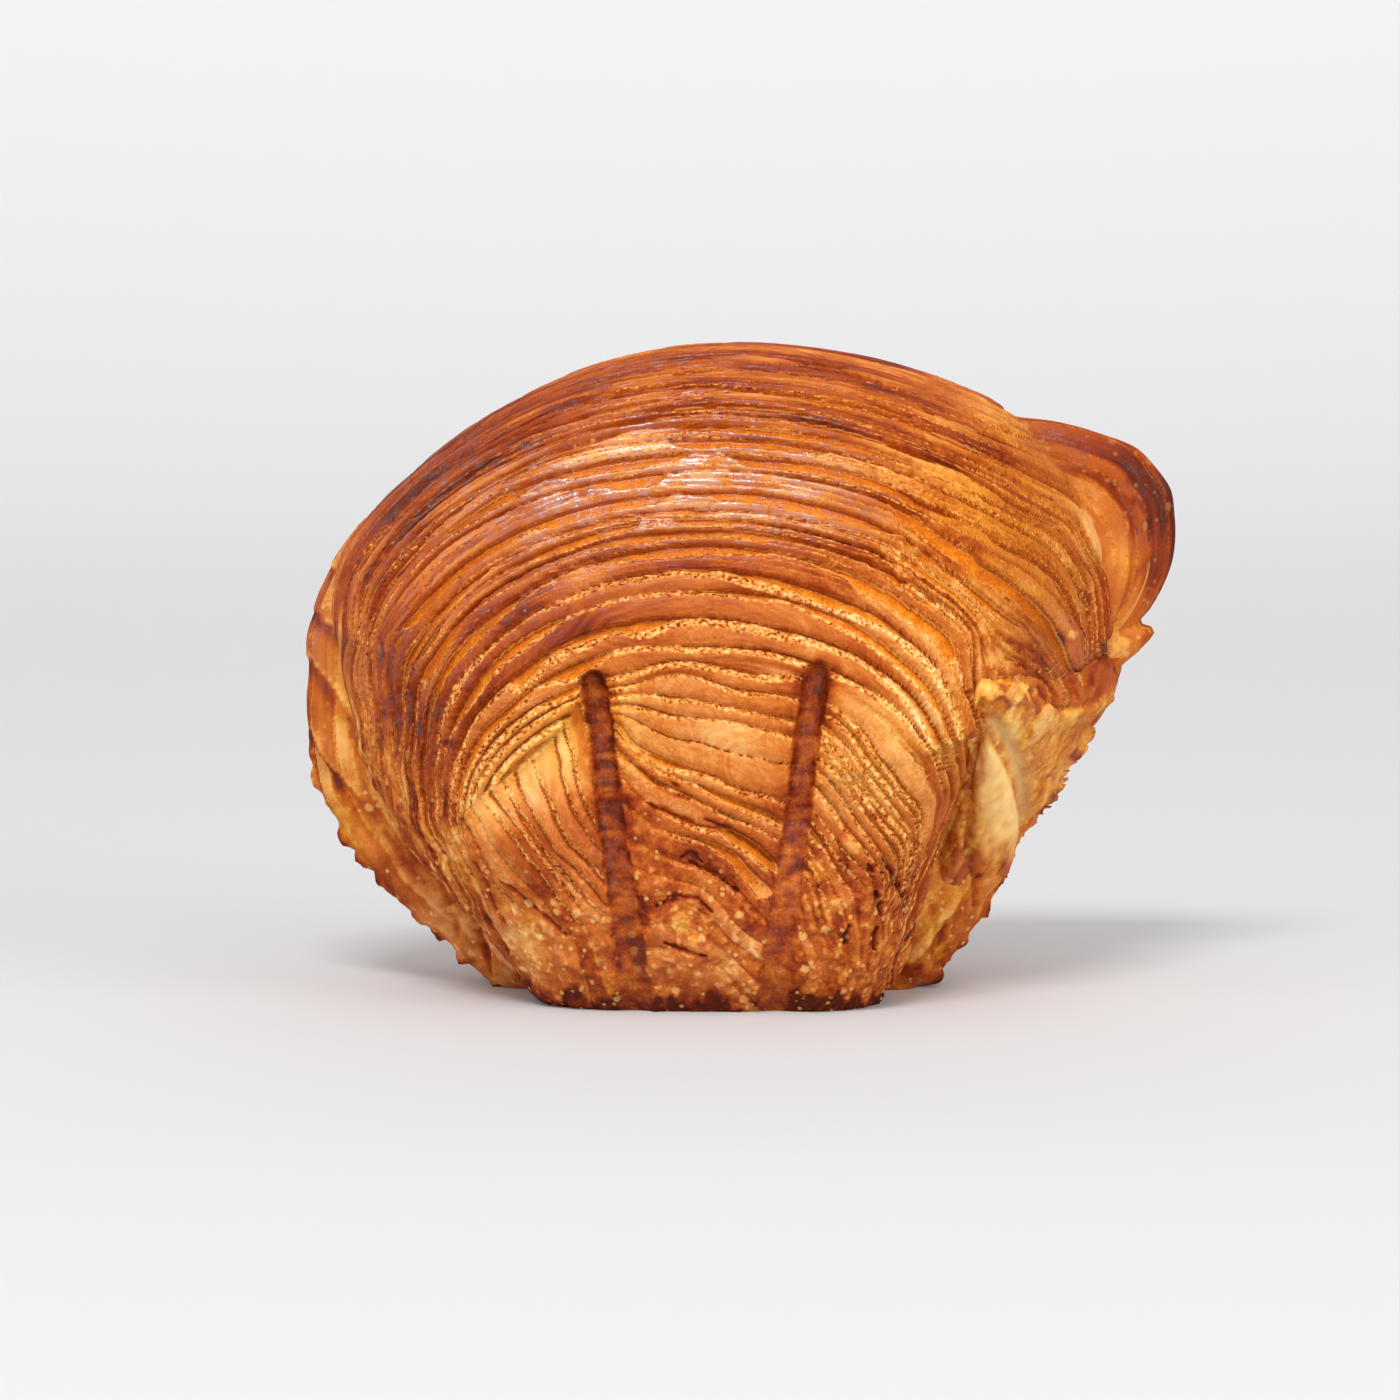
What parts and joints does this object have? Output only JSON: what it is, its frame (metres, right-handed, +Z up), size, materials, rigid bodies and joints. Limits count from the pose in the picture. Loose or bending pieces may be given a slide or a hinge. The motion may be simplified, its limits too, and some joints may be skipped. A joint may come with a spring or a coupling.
{
  "type": "apple turnover",
  "caption": "Apple turnover of striped laminated dough: a puffed half-moon with a glazed layered dome and two pressed grooves, standing on its sealed rim",
  "frame": {"origin": "middle of the footprint of the whole turnover's bounding box, on the surface it stands on", "axes": "+X to the right as the shown face is looked at, along the turnover's width; +Y away from the viewer, from the shown face to the back; +Z up, from the pressed foot to the top of the dome"},
  "size_m": [0.1297, 0.0609, 0.0949],
  "materials": {
    "crust": "baked laminated dough with egg wash: glossy on the dome, dry and crumbly on the layer edges"
  },
  "bodies": {
    "root": {"turnover": "crust"}
  },
  "joints": []
}
